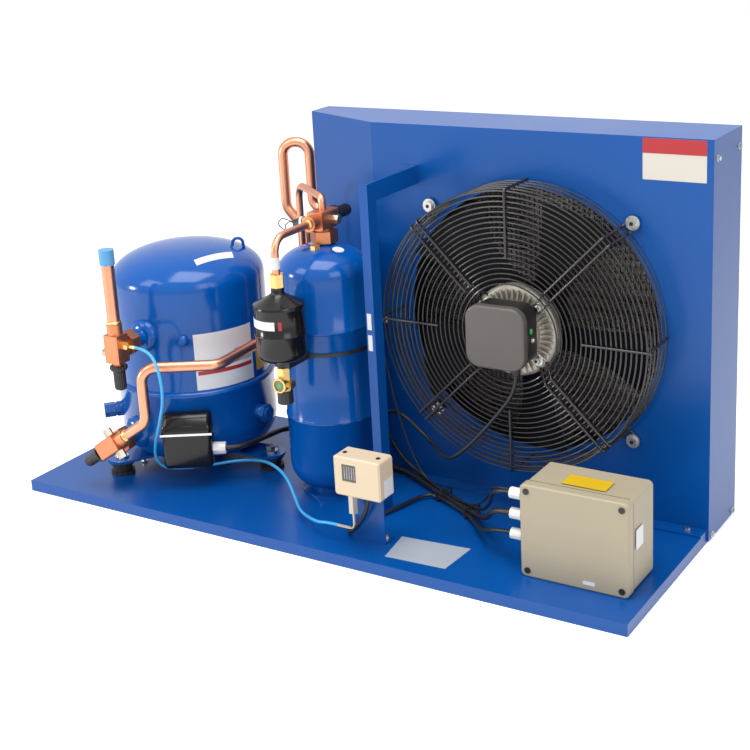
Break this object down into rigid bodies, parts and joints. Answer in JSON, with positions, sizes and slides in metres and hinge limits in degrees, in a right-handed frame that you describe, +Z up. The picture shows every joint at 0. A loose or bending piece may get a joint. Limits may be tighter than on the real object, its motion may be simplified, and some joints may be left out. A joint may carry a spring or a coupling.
{
  "type": "refrigeration condensing unit",
  "caption": "Air-cooled refrigeration condensing unit: blue hermetic compressor, receiver, drier, switch, control box and guarded condenser fan on a folded tray.",
  "frame": {"origin": "centre of the tray's underside, on the plane it stands on", "axes": "+X right along the tray, +Y to the rear (condenser), +Z up"},
  "size_m": [1.178, 0.455, 0.654],
  "materials": {
    "blue_powder": "gloss",
    "grey_coat": "satin",
    "black_paint": "satin",
    "copper": "polished",
    "brass": "satin",
    "plated_steel": "satin",
    "aluminium_fins": "satin",
    "galvanised": "matte",
    "black_plastic": "matte",
    "cream_plastic": "satin",
    "white_plastic": "satin",
    "blue_cap_plastic": "gloss",
    "blue_tube_plastic": "satin",
    "rubber": "matte",
    "glass": "gloss",
    "cast_grey": "matte"
  },
  "bodies": {
    "unit": {"base_tray": "blue_powder", "brass_fittings": "brass", "cable_glands": "white_plastic", "capillary_hose": "blue_tube_plastic", "coil_end_plates": "galvanised", "coil_fins": "aluminium_fins", "coil_tubes": "copper", "compressor_cable": "black_plastic", "compressor_feet": "blue_powder", "compressor_grommets": "rubber", "compressor_lower_shell": "blue_powder", "compressor_pump_block": "cast_grey", "compressor_terminal_cover": "black_plastic", "compressor_upper_shell": "blue_powder", "control_box": "grey_coat", "control_box_lid": "grey_coat", "control_box_screws": "black_plastic", "copper_lines": "copper", "discharge_line": "copper", "drier_body": "blue_powder", "fan_cable": "black_plastic", "fan_guard": "black_paint", "fan_inlet_ring": "galvanised", "fan_motor_stator": "black_paint", "fan_terminal_box": "black_plastic", "fan_terminal_lid": "black_plastic", "fixing_bolts": "plated_steel", "housing_side": "blue_powder", "housing_top": "blue_powder", "housing_wrap": "blue_powder", "oil_cap": "blue_powder", "oil_sight_glass": "black_plastic", "plastic_trim": "black_plastic", "plated_fittings": "plated_steel", "receiver_foot": "blue_powder", "receiver_shell": "blue_powder", "rotolock_nuts": "plated_steel", "sensor_lead": "white_plastic", "service_valve_bodies": "plated_steel", "sight_glass_body": "brass", "sight_glass_lens": "glass", "support_post": "blue_powder", "switch_base": "plated_steel", "switch_bracket": "blue_powder", "switch_cable": "black_plastic", "switch_cover": "cream_plastic", "terminal_strap": "plated_steel"},
    "fan": {"fan_rotor_hub": "black_paint", "fan_blades": "black_paint"},
    "suction_cap": {"suction_valve_cap": "black_plastic"},
    "discharge_cap": {"discharge_valve_cap": "black_plastic"},
    "receiver_cap": {"receiver_valve_cap": "black_plastic"},
    "suction_stem": {"suction_valve_stem": "plated_steel"},
    "discharge_stem": {"discharge_valve_stem": "plated_steel"},
    "receiver_stem": {"receiver_valve_stem": "plated_steel"},
    "stub_cap": {"suction_stub_cap": "blue_cap_plastic"},
    "outlet_cap": {"outlet_cap": "black_plastic"},
    "left_spindle": {"switch_spindle_left": "plated_steel"},
    "right_spindle": {"switch_spindle_right": "plated_steel"}
  },
  "joints": [
    {"name": "fan_spin", "type": "hinge", "parent": "unit", "child": "fan", "pos_m": [0.281, 0.096, 0.338], "axis": [0, 1, 0], "continuous": true},
    {"name": "suction_cap_pull", "type": "slide", "parent": "unit", "child": "suction_cap", "axis": [0, 0, -1], "range_m": [0, 0.04]},
    {"name": "discharge_cap_pull", "type": "slide", "parent": "unit", "child": "discharge_cap", "axis": [-0.829, 0, -0.5592], "range_m": [0, 0.035]},
    {"name": "receiver_cap_pull", "type": "slide", "parent": "unit", "child": "receiver_cap", "axis": [0, 1, 0], "range_m": [0, 0.014]},
    {"name": "suction_stem_turn", "type": "hinge", "parent": "unit", "child": "suction_stem", "pos_m": [-0.365, -0.196, 0.26], "axis": [0, 0, 1], "range_deg": [-1080, 0]},
    {"name": "discharge_stem_turn", "type": "hinge", "parent": "unit", "child": "discharge_stem", "pos_m": [-0.402, -0.196, 0.109], "axis": [0.829, 0, 0.5592], "range_deg": [-1080, 0]},
    {"name": "receiver_stem_turn", "type": "hinge", "parent": "unit", "child": "receiver_stem", "pos_m": [-0.057, 0.044, 0.504], "axis": [0, -1, 0], "range_deg": [-1080, 0]},
    {"name": "stub_cap_pull", "type": "slide", "parent": "unit", "child": "stub_cap", "axis": [0, 0, 1], "range_m": [0, 0.05]},
    {"name": "outlet_cap_pull", "type": "slide", "parent": "unit", "child": "outlet_cap", "axis": [0, 0, -1], "range_m": [0, 0.05]},
    {"name": "left_spindle_turn", "type": "hinge", "parent": "unit", "child": "left_spindle", "pos_m": [0.091, -0.1865, 0.176], "axis": [0, 0, 1], "range_deg": [-720, 720]},
    {"name": "right_spindle_turn", "type": "hinge", "parent": "unit", "child": "right_spindle", "pos_m": [0.153, -0.1865, 0.176], "axis": [0, 0, 1], "range_deg": [-720, 720]}
  ]
}
